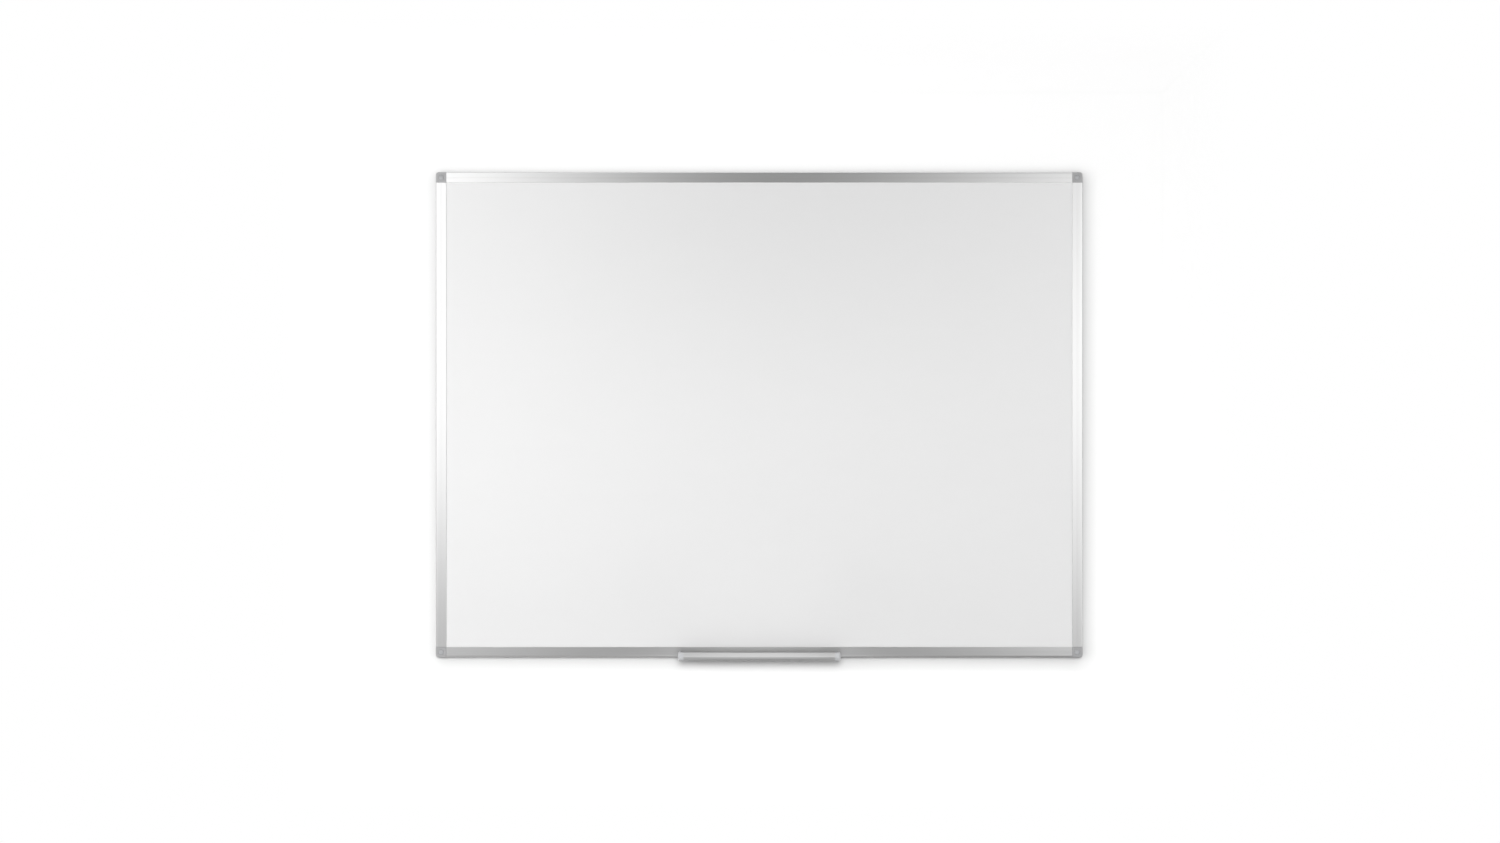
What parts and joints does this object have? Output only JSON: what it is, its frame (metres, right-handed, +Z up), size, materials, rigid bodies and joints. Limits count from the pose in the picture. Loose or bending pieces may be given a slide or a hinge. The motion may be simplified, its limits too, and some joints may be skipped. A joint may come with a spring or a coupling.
{
  "type": "magnetic whiteboard",
  "caption": "Wall-mounted magnetic dry-wipe board: white steel face, aluminium frame, grey plastic corners with pull-out screw caps, sliding pen tray.",
  "frame": {"origin": "centre of the four corner screw holes, on the wall plane", "axes": "+X to the right seen from the front, +Y into the wall, +Z up; the board faces -Y"},
  "size_m": [1.2, 0.0613, 0.9039],
  "materials": {
    "lacquered_steel": "gloss",
    "fibreboard": "matte",
    "galvanised_steel": "satin",
    "anodised_aluminium": "satin",
    "grey_abs": "satin",
    "grey_abs_cap": "satin",
    "silver_grey_abs": "satin",
    "white_acetal": "satin",
    "zinc_screw": "satin"
  },
  "bodies": {
    "board": {"writing_sheet": "lacquered_steel", "core_board": "fibreboard", "backing_sheet": "galvanised_steel", "rail_screws": "zinc_screw", "rail_top": "anodised_aluminium", "rail_bottom": "anodised_aluminium", "rail_left": "anodised_aluminium", "rail_right": "anodised_aluminium", "corner_block_top_left": "grey_abs", "corner_block_top_right": "grey_abs", "corner_block_bottom_left": "grey_abs", "corner_block_bottom_right": "grey_abs"},
    "tray": {"tray_channel": "anodised_aluminium", "tray_glide_screws": "zinc_screw", "tray_end_cap_left": "silver_grey_abs", "tray_end_cap_right": "silver_grey_abs", "tray_glide_left": "white_acetal", "tray_glide_right": "white_acetal"},
    "cap_top_left": {"screw_cap_top_left": "grey_abs_cap"},
    "cap_top_right": {"screw_cap_top_right": "grey_abs_cap"},
    "cap_bottom_left": {"screw_cap_bottom_left": "grey_abs_cap"},
    "cap_bottom_right": {"screw_cap_bottom_right": "grey_abs_cap"}
  },
  "joints": [
    {"name": "tray_slide", "type": "slide", "parent": "board", "child": "tray", "axis": [1, 0, 0], "range_m": [-0.4335, 0.4335]},
    {"name": "cap_pull_top_left", "type": "slide", "parent": "board", "child": "cap_top_left", "axis": [0, -1, 0], "range_m": [0, 0.015]},
    {"name": "cap_pull_top_right", "type": "slide", "parent": "board", "child": "cap_top_right", "axis": [0, -1, 0], "range_m": [0, 0.015]},
    {"name": "cap_pull_bottom_left", "type": "slide", "parent": "board", "child": "cap_bottom_left", "axis": [0, -1, 0], "range_m": [0, 0.015]},
    {"name": "cap_pull_bottom_right", "type": "slide", "parent": "board", "child": "cap_bottom_right", "axis": [0, -1, 0], "range_m": [0, 0.015]}
  ]
}
